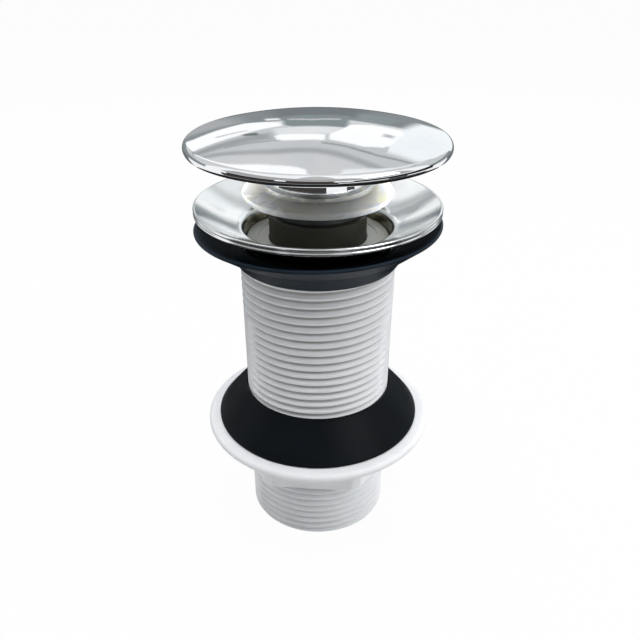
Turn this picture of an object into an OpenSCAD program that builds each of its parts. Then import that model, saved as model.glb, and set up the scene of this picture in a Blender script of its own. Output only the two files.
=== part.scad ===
// Pop up basin waste: a push-push plug in a pressed bowl, on a threaded tail with a back nut.
// Millimetres, +Z up, origin at the centre of the tail's outlet end. The plug is modelled open.

/* [Tail] */
// Outside diameter of the pipe thread
thread_d = 41.9; // [41:0.1:44]
// Bore of the tail at its outlet
tail_bore_d = 35; // [34:0.1:36]
// Length of the tail
tail_l = 87.2; // [82:0.1:110]
// Chamfer at the outlet end
tail_chamfer = 0.8; // [0.2:0.1:1.2]
// Length of the eased thread at the outlet end, where the trap's nut starts
lead_l = 18; // [12:0.1:20]
// Easing of that thread, on each side
lead_ease = 0.25; // [0.22:0.01:0.35]
// Step of the bore on each side below the bridge, where the mould's two cores meet
core_step = 0.2; // [0.1:0.05:0.3]
// Pitch of the thread
thread_pitch = 2.309; // [2:0.001:3]
// Depth of the thread
thread_depth = 1.2; // [0.8:0.05:1.5]
// Share of the pitch that the flat crest takes
crest_share = 0.22; // [0.1:0.01:0.4]
// Angle of the smooth strip on each side, where the thread stops at the parting line
strip_angle = 58; // [30:1:70]
// Distance from the top of the tail down to the strips
strip_drop = 17.7; // [14:0.1:40]
// Set-back of the strips from the crest
strip_back = 0.05; // [0.03:0.01:0.2]
// Number of spokes of the bridge across the bore
spoke_n = 4; // [3:1:6]
// Width of a spoke
spoke_w = 2.4; // [1.6:0.1:3.2]
// Height of a spoke
spoke_h = 6; // [4:0.1:8]
// Diameter of the boss in the middle of the bridge
boss_d = 13; // [12:0.1:16]
// Height of the boss
boss_h = 8; // [6:0.1:10]

/* [Bowl] */
// Outside diameter of the flange
flange_d = 64.2; // [62:0.1:70]
// Thickness of the pressed sheet
sheet_t = 0.8; // [0.5:0.05:1.2]
// Diameter of the throat at its upper edge
throat_d = 40; // [39:0.1:41]
// Taper of the cup from the throat edge to its corner, on each side
cup_taper = 1.3; // [1:0.1:1.5]
// Height of the throat edge over the floor
throat_h = 3.5; // [3:0.1:5]
// Rise of the dish from the throat edge to the rim
dish_h = 5.6; // [4:0.1:8]
// Radius of each bead of the rolled rim
bead_r = 0.5; // [0.4:0.05:0.6]
// Thickness of the flat ring under the cup
bowl_seal_t = 1; // [0.6:0.1:2]

/* [Clamp insert] */
// Step from the tail's bore in to the clamp's thread
neck_step = 0.7; // [0.4:0.1:1.2]
// Wall of the threaded tube
clamp_wall = 1; // [0.8:0.05:1.4]
// Length of the threaded tube
clamp_l = 9; // [6:0.1:12]
// Thickness of the floor flange
clamp_t = 1.2; // [0.8:0.1:2]
// Angle that each guide arm covers
arm_angle = 76; // [50:1:90]
// Depth of the guide arms
arm_h = 3.2; // [2:0.1:5]

/* [Flange gasket] */
// Diameter over the lip
gasket_d = 65; // [60:0.1:70]
// Thickness of the lip at its edge
gasket_lip_t = 1; // [0.6:0.1:1.6]
// Height from the bottom of the hub to the lip's upper edge
gasket_h = 10.4; // [9:0.1:13]
// Diameter of the hub under the lip
gasket_hub_d = 51; // [48:0.1:54]
// Depth of the conical hub
gasket_hub_h = 5; // [4:0.1:6]

/* [Back nut and washer] */
// Diameter of the nut's flange
nut_flange_d = 66.6; // [62:0.1:72]
// Thickness of the nut's flange
nut_flange_t = 2.6; // [2:0.1:4]
// Wall of the nut at the middle of a flat
nut_wall = 1.9; // [1.6:0.1:4]
// Height of the nut
nut_h = 13.8; // [10:0.1:18]
// Turn of the hexagon as seen from above
nut_turn = -4.5; // [-30:0.5:30]
// Height of the top of the nut over the outlet end
nut_z = 34.3; // [30:0.1:40]
// Width of the flange left bare around the washer
nut_margin = 3.4; // [2:0.1:6]
// Height of the washer
washer_h = 10.5; // [8:0.1:14]
// Width of the washer's upper end face
washer_top_w = 0.6; // [0.4:0.1:1.5]
// Height of the washer's upright edge at its base
washer_edge = 0.8; // [0.4:0.1:1.5]

/* [Plug] */
// Travel of the plug from open to closed
plug_travel = 10; // [8:0.1:11]
// Diameter of the cap
cap_d = 66.2; // [60:0.1:72]
// Rise of the dome over the rim's centre
cap_rise = 5.65; // [4.5:0.05:9]
// Radius of the rolled rim
cap_roll = 1.65; // [0.9:0.05:2]
// Angle that the rim turns in below its widest line
cap_curl = 35; // [20:1:80]
// Thickness of the cap shell
cap_t = 0.6; // [0.4:0.05:0.7]
// Distance from the cap's edge in to the plate under it
plate_inset = 4.5; // [3.5:0.1:7]
// Thickness of the plate at its edge
plate_t = 2; // [1.4:0.1:2.4]
// Number of ribs under the plate
rib_n = 10; // [4:1:16]
// Diameter of the neck at its foot
neck_d = 29.2; // [28:0.1:31]
// Flare of the neck at its top, on each side
neck_flare = 0.8; // [0.2:0.1:1.4]
// Height of the neck
neck_h = 8; // [6:0.1:12]
// Wall of the neck
neck_wall = 1.2; // [0.8:0.1:1.6]
// Drop from the seal's lip to its foot
seal_drop = 5.2; // [4:0.1:7]
// Rise of the seal's upper face inside its lip
seal_crown = 0.7; // [0.3:0.1:1.2]
// Height of the bead at the seal's foot
seal_bead_h = 1.9; // [1.6:0.1:2.4]
// Distance from the sleeve's outside in to the seal's foot
foot_inset = 0.45; // [0.2:0.05:1]
// Diameter of the ring under the seal
ring_d = 22.6; // [20:0.1:24]
// Height of the ring under the seal
ring_h = 2; // [1.4:0.1:3]
// Outside diameter of the sleeve
sleeve_d = 25.7; // [25.5:0.1:26.4]
// Wall of the sleeve
sleeve_wall = 0.9; // [0.7:0.05:1]
// Length of the sleeve
sleeve_l = 12; // [10:0.1:14]

/* [Latch] */
// Radial gap between the barrel and the sleeve
barrel_gap = 0.75; // [0.4:0.05:1]
// Wall of the barrel at its grooves
barrel_wall = 2; // [1.6:0.1:2.4]
// Thickness of the barrel's floor
barrel_floor = 2.5; // [2:0.1:4]
// Thickness of the ring on the barrel
barrel_cap_t = 1.8; // [1.2:0.1:2.4]
// Angle that the rotor turns over the whole travel
rotor_turn = 45; // [40:1:45]
// Angle that each lug covers
lug_angle = 24; // [20:1:26]
// Angle that each dog covers
dog_angle = 19; // [14:1:20]
// Height of the dogs
dog_h = 1.1; // [0.8:0.1:1.4]
// Height of the rotor's body
rotor_h = 4; // [3:0.1:5]
// Diameter of the rotor's body
rotor_d = 12.4; // [12:0.1:12.8]
// Height of the cam ring's body
cam_h = 3.8; // [3:0.1:5]
// Diameter of the stem in the latch
stem_d = 6; // [5:0.1:6.2]
// Diameter of the stem's thread
stem_thread_d = 8; // [7.6:0.1:9]
// Height of the collar on the stem
collar_h = 2; // [1.4:0.1:3]
// Thickness of the clip on the stem
clip_t = 0.8; // [0.5:0.1:1]
// Wire diameter of the spring
wire_d = 0.9; // [0.6:0.05:1]
// Distance from the rotor's edge in to the spring
spring_inset = 0.4; // [0.2:0.05:0.6]
// Turns of the spring
spring_turns = 7; // [5:0.5:8]
// Diameter of the screw under the barrel
screw_d = 5; // [4:0.1:5.4]

/* [Clearances] */
// Radial clearance of the seal's lip in the throat when closed
lip_gap = 0.35; // [0.25:0.01:0.5]
// Radial clearance of fixed round fits
fit_gap = 0.1; // [0.05:0.01:0.15]
// Radial clearance of the nut and the rubber on the thread
thread_gap = 0.15; // [0.1:0.01:0.3]
// Clearance between pieces that move past each other
run_gap = 0.3; // [0.2:0.05:0.4]

/* [Hidden] */
$fn = 96;

// Radii, from the thread outwards and from the throat inwards
thread_r = thread_d / 2;
bore_r = tail_bore_d / 2;
lip_r = bore_r - neck_step;
clamp_r = lip_r - fit_gap;
clamp_bore_r = clamp_r - clamp_wall;
grip_r = thread_r + thread_gap;
flange_r = flange_d / 2;
throat_r = throat_d / 2;
cup_r = throat_r - cup_taper;
clamp_flange_r = cup_r - 2 * fit_gap;
gasket_r = gasket_d / 2;
hub_r = gasket_hub_d / 2;
nut_r = nut_flange_d / 2;
nut_flats = 2 * (grip_r + nut_wall);
washer_r = nut_r - nut_margin;

// Radii of the plug
cap_r = cap_d / 2;
plate_r = cap_r - plate_inset;
neck_r = neck_d / 2;
plate_boss_r = neck_r - neck_wall - fit_gap;
seal_r = throat_r - lip_gap;
ring_r = ring_d / 2;
sleeve_r = sleeve_d / 2;
sleeve_bore_r = sleeve_r - sleeve_wall;
guide_r = sleeve_r + run_gap;
foot_r = sleeve_r - foot_inset;
stem_thread_r = stem_thread_d / 2;
stack_bore_r = stem_thread_r + fit_gap;
core_wall = 2.6;
core_r = stem_thread_r + core_wall;

// Radii of the latch
barrel_r = sleeve_bore_r - barrel_gap;
groove_r = barrel_r - barrel_wall;
lug_r = groove_r - run_gap;
rotor_r = rotor_d / 2;
rib_r = rotor_r + run_gap;
stem_r = stem_d / 2;
step_w = 0.6;
latch_step = 0.2;
groove_depth = 0.5;
wire_r = wire_d / 2;
coil_r = rotor_r - spring_inset - wire_r;
coil_bore_r = coil_r - wire_r - run_gap;
screw_r = screw_d / 2;

// Heights of the bowl, from the tail upwards
lip_z = tail_l + bowl_seal_t;
seat_z = lip_z + sheet_t;
floor_z = seat_z + clamp_t;
throat_z = floor_z + throat_h;
rim_z = throat_z + dish_h;

// Ends of the stem
stem_end = 0.6;
stem_tip = 0.9;

// Heights of the plug when open: closed, its lip lies level with the throat edge
roof_t = 1.4;
neck_floor = 1.2;
rim_lift = 0.8;
seal_rim_z = throat_z + plug_travel;
seal_top_z = seal_rim_z + seal_crown;
seal_foot_z = seal_rim_z - seal_drop;
sleeve_top_z = seal_foot_z - ring_h;
roof_z = sleeve_top_z - roof_t;
collar_z = roof_z - collar_h;
boss_z = seal_top_z + neck_floor;
plate_z = seal_top_z + neck_h;
stem_top_z = plate_z - stem_end;
cap_z = plate_z + cap_roll * sin(cap_curl) + rim_lift;
cap_top_z = cap_z + cap_rise;

// Heights of the latch: the barrel ends just under the sleeve's roof when the plug is down
spring_slack = 1.1;
barrel_top_z = roof_z - plug_travel - 1.5 * run_gap;
tube_top_z = barrel_top_z - barrel_cap_t;
cam_top_z = tube_top_z - run_gap;
cam_z = cam_top_z - cam_h;
rotor_top_z = cam_z - run_gap - dog_h;
rotor_z = rotor_top_z - rotor_h;
clip_z = rotor_z - run_gap - clip_t;
stem_z = clip_z - stem_tip;
spring_z = rotor_z - plug_travel - spring_turns * wire_d - spring_slack;
barrel_z = spring_z - barrel_floor;
boss_foot_z = barrel_z - boss_h;

// Angles of the latch: a rib starts past the point that a lug reaches when it drops below the rib
lug_n = 4;
angle_gap = 2.5;
dog_gap = 3.5;
key_angle = 20;
free_share = 0.87;
rib_slope = 15;
pitch_angle = 360 / lug_n;
rib_a0 = lug_angle / 2 + rotor_turn * free_share + angle_gap;
rib_a1 = pitch_angle - lug_angle / 2 - angle_gap;
rib_foot_z = rotor_top_z - plug_travel * free_share + run_gap;

// Heights of the gasket and the nut: the gasket's lip ends just over the throat edge
lip_rise = 0.5;
gasket_top_z = throat_z + lip_rise;
gasket_z = gasket_top_z - gasket_h;
nut_foot_z = nut_z - nut_h;

// Points of an arc about c
function arc(c, r, a0, a1, n = 16) =
    [for (i = [0:n]) c + r * [cos(a0 + (a1 - a0) * i / n), sin(a0 + (a1 - a0) * i / n)]];

// Points of a quadratic curve from a to c, pulled towards b
function bend(a, b, c, n = 10) =
    [for (i = [0:n]) let (t = i / n) (1 - t) * (1 - t) * a + 2 * t * (1 - t) * b + t * t * c];

// Unit normal on the left of a path
function normal_at(p, i) =
    let (d = p[min(i + 1, len(p) - 1)] - p[max(i - 1, 0)]) [-d.y, d.x] / norm(d);

// Points at a distance t below a path that runs outwards, in reverse, without the last few
function underside(p, t, skip = 0) =
    [for (i = [len(p) - 1 - skip:-1:0]) p[i] - t * normal_at(p, i)];

module turned(points) {
    rotate_extrude() polygon(points);
}

// Ring sector from angle a0 to a1
module sector(r0, r1, z0, z1, a0, a1) {
    rotate([0, 0, a0]) rotate_extrude(angle = a1 - a0)
        translate([r0, z0]) square([r1 - r0, z1 - z0]);
}

module ring(r0, r1, z0, z1) {
    rotate_extrude() translate([r0, z0]) square([r1 - r0, z1 - z0]);
}

module rod(r, z0, z1) {
    translate([0, 0, z0]) cylinder(r = r, h = z1 - z0);
}

module hexagon(flats, z0, z1) {
    translate([0, 0, z0]) cylinder(r = flats / 2 / cos(30), h = z1 - z0, $fn = 6);
}

// White tail: tube with its thread drawn as rings, a neck for the clamp insert, and a bridge with a boss
module tail() {
    neck_z = lip_z - clamp_l - 1;
    spoke_z = boss_foot_z + 0.5;
    outlet_l = boss_foot_z - screw_nut_h - screw_d;
    lead_r = thread_r - lead_ease;
    core_bore_r = bore_r - core_step;
    step = core_bore_r - lip_r;
    strip_core_r = (bore_r + thread_r - thread_depth) / 2;
    groove = thread_pitch * (1 - crest_share) / 2;
    plain_top = 2.1 * thread_pitch;
    top_groove_z = tail_l - plain_top;
    groove_n = floor((top_groove_z - lead_l - thread_pitch / 2) / thread_pitch);
    grooves = [for (i = [groove_n:-1:0], side = [-1:1])
        [thread_r - (side == 0 ? thread_depth : 0), top_groove_z - i * thread_pitch + side * groove]];
    color("white") difference() {
        union() {
            turned(concat(
                [[bore_r, 0], [lead_r - tail_chamfer, 0], [lead_r, tail_chamfer], [lead_r, lead_l],
                    [thread_r, lead_l + lead_ease]],
                grooves,
                [[thread_r, tail_l], [lip_r, tail_l], [lip_r, neck_z], [core_bore_r, neck_z - step],
                    [core_bore_r, outlet_l + core_step], [bore_r, outlet_l]]));
            for (side = [0, 180])
                sector(strip_core_r, thread_r - strip_back, lead_l + 2 * lead_ease, tail_l - strip_drop,
                    side - strip_angle / 2, side + strip_angle / 2);
            rod(boss_d / 2, boss_foot_z, barrel_z);
            for (i = [0:spoke_n - 1])
                rotate([0, 0, (i + 0.5) * 360 / spoke_n])
                    translate([boss_d / 4, -spoke_w / 2, spoke_z])
                        cube([bore_r + (thread_r - bore_r) / 3 - boss_d / 4, spoke_w, spoke_h]);
        }
        rod(screw_r + fit_gap, boss_foot_z - 1, barrel_z + 1);
    }
}

// Pressed bowl: lip, tapering cup, dish and a rim rolled into two beads
module bowl() {
    bead_x = flange_r - bead_r;
    bead_z = rim_z - bead_r;
    path = concat(
        [[lip_r, seat_z]],
        bend([cup_r - 0.6, seat_z], [cup_r, seat_z], [cup_r + 0.2, seat_z + 0.6], 5),
        bend([throat_r - 0.25, throat_z - 0.9], [throat_r, throat_z], [throat_r + 1.3, throat_z + 0.5], 8),
        bend([throat_r + 2, throat_z + 0.75], [flange_r - 5.5, rim_z - 3.2], [bead_x, rim_z], 12));
    color("lightsteelblue") turned(concat(path,
        arc([bead_x, bead_z], bead_r, 80, -50, 8),
        arc([bead_x, bead_z - 2 * bead_r], bead_r, 50, -190, 12),
        underside(path, sheet_t, 1)));
}

// Flat ring between the cup's lip and the tail
module bowl_seal() {
    color("dimgray") ring(clamp_r + 2 * fit_gap, cup_r + sheet_t, tail_l, lip_z);
}

// Threaded insert that traps the lip: its flange is the floor, and two arms guide the sleeve
module bowl_clamp() {
    corner = 0.6;
    edge = 0.2;
    floor_r = clamp_flange_r + cup_taper * (floor_z - seat_z) / (throat_z - seat_z);
    color("gainsboro") union() {
        rotate([0, 0, 90]) turned([
            [clamp_bore_r, lip_z - clamp_l], [clamp_r, lip_z - clamp_l], [clamp_r, seat_z],
            [clamp_flange_r - corner, seat_z], [clamp_flange_r, seat_z + corner],
            [floor_r, floor_z - edge], [floor_r - edge, floor_z], [clamp_bore_r, floor_z]]);
        for (side = [0, 180])
            sector(guide_r, clamp_r - clamp_wall / 2, floor_z - arm_h, floor_z - edge,
                side - arm_angle / 2, side + arm_angle / 2);
    }
}

// Rubber gasket: a dished lip that takes the basin, on a conical hub that grips the thread
module flange_gasket() {
    foot_w = 0.5;
    crown = 0.9;
    hub_top_z = gasket_z + gasket_hub_h;
    lip_c = [gasket_r - gasket_lip_t / 2, gasket_top_z - gasket_lip_t / 2];
    color("#1c2023") turned(concat(
        [[grip_r, gasket_z], [grip_r + foot_w, gasket_z]],
        bend([hub_r - 1, hub_top_z - 0.8], [hub_r, hub_top_z], [hub_r + 1.4, hub_top_z + 0.6], 5),
        arc(lip_c, gasket_lip_t / 2, -60, 100, 8),
        bend([gasket_r - 2.4, gasket_top_z - 0.9], [hub_r - 0.5, hub_top_z + crown],
            [grip_r, hub_top_z + crown], 8)));
}

// Barrel of the latch: grooves between ribs whose lower ends are sloped for the lugs
module barrel() {
    color("darkslategray") difference() {
        union() {
            difference() {
                rod(barrel_r, barrel_z, tube_top_z);
                rod(groove_r, spring_z, tube_top_z + 1);
            }
            for (i = [0:lug_n - 1])
                rotate([0, 0, i * pitch_angle])
                    difference() {
                        sector(rib_r, groove_r + barrel_wall / 2, rib_foot_z, tube_top_z, rib_a0, rib_a1);
                        rotate([0, 0, rib_a0])
                            translate([0, 0, rib_foot_z]) rotate([rib_slope, 0, 0])
                                translate([0, 0, -barrel_r]) cube([barrel_r, 2 * barrel_r, barrel_r]);
                    }
        }
        rod(screw_r + fit_gap, barrel_z - 1, spring_z + 1);
    }
}

// Ring on the barrel: the cam ring's keys stop against it
module barrel_cap() {
    edge = 0.5;
    color("slategray") turned([[rib_r, tube_top_z], [barrel_r, tube_top_z],
        [barrel_r, barrel_top_z - edge], [barrel_r - edge, barrel_top_z], [rib_r + edge, barrel_top_z],
        [rib_r, barrel_top_z - edge]]);
}

// Pan head screw through the barrel's floor and the boss, with a cross recess
screw_head_h = 2.4;
screw_nut_h = 3.6;
module barrel_screw() {
    head_r = coil_bore_r - run_gap;
    head_edge = 0.9;
    slot_w = 0.8;
    slot_depth = 1;
    head_z = spring_z + screw_head_h;
    color("silver") difference() {
        union() {
            rod(screw_r, boss_foot_z - screw_nut_h - screw_r / 2, spring_z + slot_w);
            turned([[0, spring_z], [head_r, spring_z], [head_r, head_z - head_edge],
                [head_r - head_edge, head_z], [0, head_z]]);
        }
        for (a = [0, 90])
            rotate([0, 0, a])
                translate([-head_r / 2, -slot_w / 2, head_z - slot_depth])
                    cube([head_r, slot_w, 2 * slot_depth]);
    }
}

module barrel_nut() {
    flats = 1.6 * screw_d;
    color("silver") difference() {
        hexagon(flats, boss_foot_z - screw_nut_h, boss_foot_z);
        rod(screw_r + fit_gap, boss_foot_z - screw_nut_h - 1, boss_foot_z + 1);
    }
}

// Rubber cone washer on the nut
module cone_washer() {
    edge = 0.3;
    color("#1c2023") turned([[grip_r, nut_z], [washer_r - edge, nut_z], [washer_r, nut_z + edge],
        [washer_r, nut_z + washer_edge], [grip_r + washer_top_w, nut_z + washer_h],
        [grip_r, nut_z + washer_h]]);
}

// Back nut: wide flange with a rounded edge over a hexagon hub
module back_nut() {
    edge_r = nut_flange_t / 2;
    cone_h = 2;
    cone_w = 2.5;
    flange_z = nut_z - nut_flange_t;
    color("white") difference() {
        union() {
            turned(concat([[0, nut_z]], arc([nut_r - edge_r, nut_z - edge_r], edge_r, 90, -90, 10),
                [[nut_flats / 2 + cone_w, flange_z], [nut_flats / 2 - 0.5, flange_z - cone_h],
                [0, flange_z - cone_h]]));
            rotate([0, 0, nut_turn]) hexagon(nut_flats, nut_foot_z, nut_z - edge_r);
        }
        rod(grip_r, nut_foot_z - 1, nut_z + 1);
    }
}

// Dome of the cap: its sphere meets the rolled rim in a smooth line
dome_a = cap_r - cap_roll;
dome_r = (dome_a * dome_a + cap_rise * cap_rise - cap_roll * cap_roll) / (2 * (cap_rise - cap_roll));
dome_c = [0, cap_top_z - dome_r];
dome_angle = atan(dome_a / (dome_r - cap_rise));

module cap_shell() {
    rim_c = [dome_a, cap_z];
    rim_a = 90 - dome_angle - 8;
    color("silver") turned(concat(
        arc(dome_c, dome_r, 90, 90 - dome_angle, 24),
        arc(rim_c, cap_roll, rim_a, -cap_curl),
        arc(rim_c, cap_roll - cap_t, -cap_curl, rim_a),
        arc(dome_c, dome_r - cap_t, 90 - dome_angle, 90, 24)));
}

// Plastic core of the cap, with radial ribs and the boss that takes the stem
module cap_plate() {
    rib_t = 1.2;
    rib_inset = 2;
    rib_foot = 7;
    top_r = dome_r - cap_t - fit_gap;
    mid_r = top_r - plate_t / 2;
    edge_a = asin(plate_r / top_r);
    pad_r = neck_r + neck_flare;
    pad_top_z = dome_c.y + sqrt(top_r * top_r - pad_r * pad_r) - 0.3 * plate_t;
    edge = dome_c + top_r * [sin(edge_a), cos(edge_a)];
    color("lightgray") difference() {
        union() {
            turned(concat(arc(dome_c, top_r, 90, 90 - edge_a), [edge - [0, plate_t]],
                arc(dome_c, top_r - plate_t, 91 - edge_a, 90)));
            rod(plate_boss_r, boss_z, pad_top_z);
            rod(pad_r, plate_z, pad_top_z);
            for (i = [0:rib_n - 1])
                rotate([90, 0, i * 360 / rib_n])
                    translate([0, 0, -rib_t / 2]) linear_extrude(rib_t)
                        polygon(concat([[plate_boss_r, plate_z], [plate_r - rib_foot, plate_z]],
                            arc(dome_c, mid_r, 90 - asin((plate_r - rib_inset) / mid_r),
                                90 - asin(plate_boss_r / mid_r))));
        }
        rod(stack_bore_r, boss_z - 1, stem_top_z + fit_gap);
    }
}

// Chrome bush between the cap and the seal
module neck() {
    foot_edge = 0.8;
    color("silver") turned(concat(
        [[stack_bore_r, seal_top_z]],
        arc([neck_r - foot_edge, seal_top_z + foot_edge], foot_edge, -90, 0, 6),
        bend([neck_r, seal_top_z + neck_h / 2], [neck_r, plate_z - 1], [neck_r + neck_flare, plate_z], 6),
        [[neck_r - neck_wall, plate_z], [neck_r - neck_wall, boss_z], [stack_bore_r, boss_z]]));
}

// Soft seal: a wide lip over a foot bead
module lip_seal() {
    lip_t = 0.7;
    bead_edge = 0.5;
    bead_z = seal_foot_z + seal_bead_h;
    color("cornsilk") turned(concat(
        [[core_r + fit_gap, seal_foot_z]],
        arc([foot_r - bead_edge, seal_foot_z + bead_edge], bead_edge, -90, 0, 5),
        arc([foot_r - bead_edge, bead_z - bead_edge], bead_edge, 0, 60, 4),
        bend([foot_r - 0.1, bead_z + 0.2], [seal_r - 2.2, bead_z + 0.8],
            [seal_r - lip_t / 3, seal_rim_z - lip_t], 10),
        arc([seal_r - lip_t / 2, seal_rim_z - lip_t / 2], lip_t / 2, -30, 90, 6),
        [[neck_r, seal_top_z - 0.15], [neck_r - 0.6, seal_top_z], [core_r + fit_gap, seal_top_z]]));
}

// Ring under the seal, with the core that the seal sits on
module seal_ring() {
    edge = 0.3;
    core_drop = 0.5;
    color("dimgray") turned([[stack_bore_r, sleeve_top_z], [ring_r - edge, sleeve_top_z],
        [ring_r, sleeve_top_z + edge], [ring_r, seal_foot_z], [core_r, seal_foot_z],
        [core_r, seal_top_z - core_drop], [stack_bore_r, seal_top_z - core_drop]]);
}

// Skirt of the plug, open below, around the top of the barrel
module sleeve() {
    edge = 0.3;
    foot_z = sleeve_top_z - sleeve_l;
    color("darkolivegreen") turned([[sleeve_bore_r, foot_z], [sleeve_r - edge, foot_z],
        [sleeve_r, foot_z + edge], [sleeve_r, sleeve_top_z - edge], [sleeve_r - edge, sleeve_top_z],
        [stack_bore_r, sleeve_top_z], [stack_bore_r, roof_z], [sleeve_bore_r, roof_z]]);
}

// Stem: thread in the cap, collar under the sleeve, step on the cam ring, groove for the clip
module stem() {
    edge = 0.4;
    step_r = stem_r + step_w;
    groove = stem_r - groove_depth;
    color("goldenrod") turned([[0, stem_z], [stem_r - edge, stem_z], [stem_r, stem_z + edge],
        [stem_r, clip_z], [groove, clip_z], [groove, clip_z + clip_t], [stem_r, clip_z + clip_t],
        [stem_r, cam_top_z], [step_r, cam_top_z], [step_r, collar_z], [rotor_r, collar_z],
        [rotor_r, roof_z], [stem_thread_r, roof_z], [stem_thread_r, stem_top_z - edge],
        [stem_thread_r - edge, stem_top_z], [0, stem_top_z]]);
}

// Cam ring: keys in the barrel's grooves, and dogs that face the rotor's dogs
module cam_ring() {
    bore = stem_r + fit_gap / 2;
    dog_r = bore + 0.3;
    key_a = (rib_a0 - lug_angle / 2) / 2;
    color("ivory") union() {
        ring(bore, rotor_r, cam_z, cam_top_z);
        for (i = [0:lug_n - 1]) {
            a = i * pitch_angle;
            sector((bore + rotor_r) / 2, lug_r, cam_z + latch_step, cam_top_z - latch_step,
                a + key_a - key_angle / 2, a + key_a + key_angle / 2);
            sector(dog_r, rotor_r - latch_step, cam_z - dog_h, cam_z + dog_h / 2, a - dog_angle, a);
        }
    }
}

// Spring clip in the stem's groove, open on one side
module stem_clip() {
    bore = stem_r - groove_depth + fit_gap / 2;
    mouth = 1.6 * bore;
    color("silver") difference() {
        ring(bore, coil_bore_r, clip_z, clip_z + clip_t);
        translate([0, -mouth / 2, clip_z - 1]) cube([2 * coil_bore_r, mouth, clip_t + 2]);
    }
}

// Rotor: lugs in the barrel's grooves, dogs above, free to turn on the stem
module rotor() {
    bore = stem_r + fit_gap;
    dog_r = bore + 0.3;
    color("tomato") union() {
        ring(bore, rotor_r, rotor_z, rotor_top_z);
        for (i = [0:lug_n - 1]) {
            a = i * pitch_angle;
            sector((bore + rotor_r) / 2, lug_r, rotor_z + latch_step, rotor_top_z - latch_step,
                a - lug_angle / 2, a + lug_angle / 2);
            sector(dog_r, rotor_r - latch_step, rotor_top_z - dog_h / 2, rotor_top_z + dog_h,
                a + dog_gap, a + dog_gap + dog_angle);
        }
    }
}

// Spring: a round wire wound on a helix with closed ends
coil_steps = 20;
wire_sides = 8;
coil_n = floor(spring_turns * coil_steps);
coil_rise = rotor_z - spring_z - wire_d - 2 * run_gap;
// Share of the rise at share t of the wire: the end turns lie flat
function coil_share(t) = let (e = 0.75 / spring_turns) min(1, max(0, (t - e) / (1 - 2 * e)));
function coil_point(i, k) =
    let (t = i / coil_n, a = 360 * spring_turns * t, w = 360 * k / wire_sides, r = coil_r + wire_r * cos(w))
    [r * cos(a), r * sin(a), spring_z + run_gap + wire_r + coil_rise * coil_share(t) + wire_r * sin(w)];

module return_spring() {
    points = [for (i = [0:coil_n], k = [0:wire_sides - 1]) coil_point(i, k)];
    sides = [for (i = [0:coil_n - 1], k = [0:wire_sides - 1])
        let (k1 = (k + 1) % wire_sides, b = i * wire_sides)
        [b + k, b + wire_sides + k, b + wire_sides + k1, b + k1]];
    first = [for (k = [0:wire_sides - 1]) k];
    last = [for (k = [wire_sides - 1:-1:0]) coil_n * wire_sides + k];
    color("gray") polyhedron(points, concat(sides, [first, last]));
}

tail();
bowl();
bowl_seal();
bowl_clamp();
flange_gasket();
barrel();
barrel_cap();
barrel_screw();
barrel_nut();
cone_washer();
back_nut();
cap_shell();
cap_plate();
neck();
lip_seal();
seal_ring();
sleeve();
stem();
cam_ring();
stem_clip();
rotor();
return_spring();
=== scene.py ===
import math

import bpy
import numpy as np
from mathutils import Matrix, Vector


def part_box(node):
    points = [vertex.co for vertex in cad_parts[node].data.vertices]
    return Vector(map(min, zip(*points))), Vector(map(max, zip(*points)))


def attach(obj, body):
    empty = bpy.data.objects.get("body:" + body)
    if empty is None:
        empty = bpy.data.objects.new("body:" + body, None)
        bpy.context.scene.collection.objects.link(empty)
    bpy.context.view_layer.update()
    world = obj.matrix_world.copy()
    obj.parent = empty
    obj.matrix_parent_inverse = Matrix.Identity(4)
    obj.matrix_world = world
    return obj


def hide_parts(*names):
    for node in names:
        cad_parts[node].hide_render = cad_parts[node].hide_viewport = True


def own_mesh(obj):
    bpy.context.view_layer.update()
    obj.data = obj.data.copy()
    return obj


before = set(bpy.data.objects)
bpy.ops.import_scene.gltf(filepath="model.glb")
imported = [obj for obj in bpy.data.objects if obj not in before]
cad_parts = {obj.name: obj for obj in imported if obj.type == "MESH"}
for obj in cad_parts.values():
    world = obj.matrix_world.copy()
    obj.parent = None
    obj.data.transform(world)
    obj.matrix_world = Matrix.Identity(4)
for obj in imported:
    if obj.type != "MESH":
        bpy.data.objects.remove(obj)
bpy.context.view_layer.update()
mm = 0.001
print("stage: frame loaded,", len(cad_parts), "nodes")


# reach of a CAD node: outer radius, underside and top, in metres
def reach(node):
    low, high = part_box(node)
    return float(high[0]), float(low[2]), float(high[2])


# points on a circle about (cr, cz), from angle a0 to a1 in degrees
def arcPoints(cr, cz, radius, a0, a1, count):
    a = np.radians(np.linspace(a0, a1, count))
    return np.stack([cr + radius * np.cos(a), cz + radius * np.sin(a)], 1)


# quadratic curve from a to c, pulled towards b
def bendPoints(a, b, c, count):
    t = np.linspace(0, 1, count)[:, None]
    return (1 - t) ** 2 * np.array(a) + 2 * t * (1 - t) * np.array(b) + t ** 2 * np.array(c)


# corners (r, z, round): every corner turns into a quadratic curve that starts and ends `round` away,
# with one more point just outside it on each side, so that the flats stay flat in the shading;
# a curve takes at most the share `most` of a side
def softCorners(corners, cuts=7, most=0.42, guard=0.18):
    c = np.array(corners, float)
    p, size = c[:, :2], c[:, 2:]
    back, ahead = np.roll(p, 1, 0) - p, np.roll(p, -1, 0) - p
    backLen = np.linalg.norm(back, axis=1, keepdims=True)
    aheadLen = np.linalg.norm(ahead, axis=1, keepdims=True)
    start = p + back / backLen * np.minimum(size, most * backLen)
    end = p + ahead / aheadLen * np.minimum(size, most * aheadLen)
    t = np.linspace(0, 1, cuts)[None, :, None]
    curve = (1 - t) ** 2 * start[:, None] + 2 * t * (1 - t) * p[:, None] + t ** 2 * end[:, None]
    before = start + (start - p) * guard
    after = end + (end - p) * guard
    return np.concatenate([before[:, None], curve, after[:, None]], 1).reshape(-1, 2)


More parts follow.
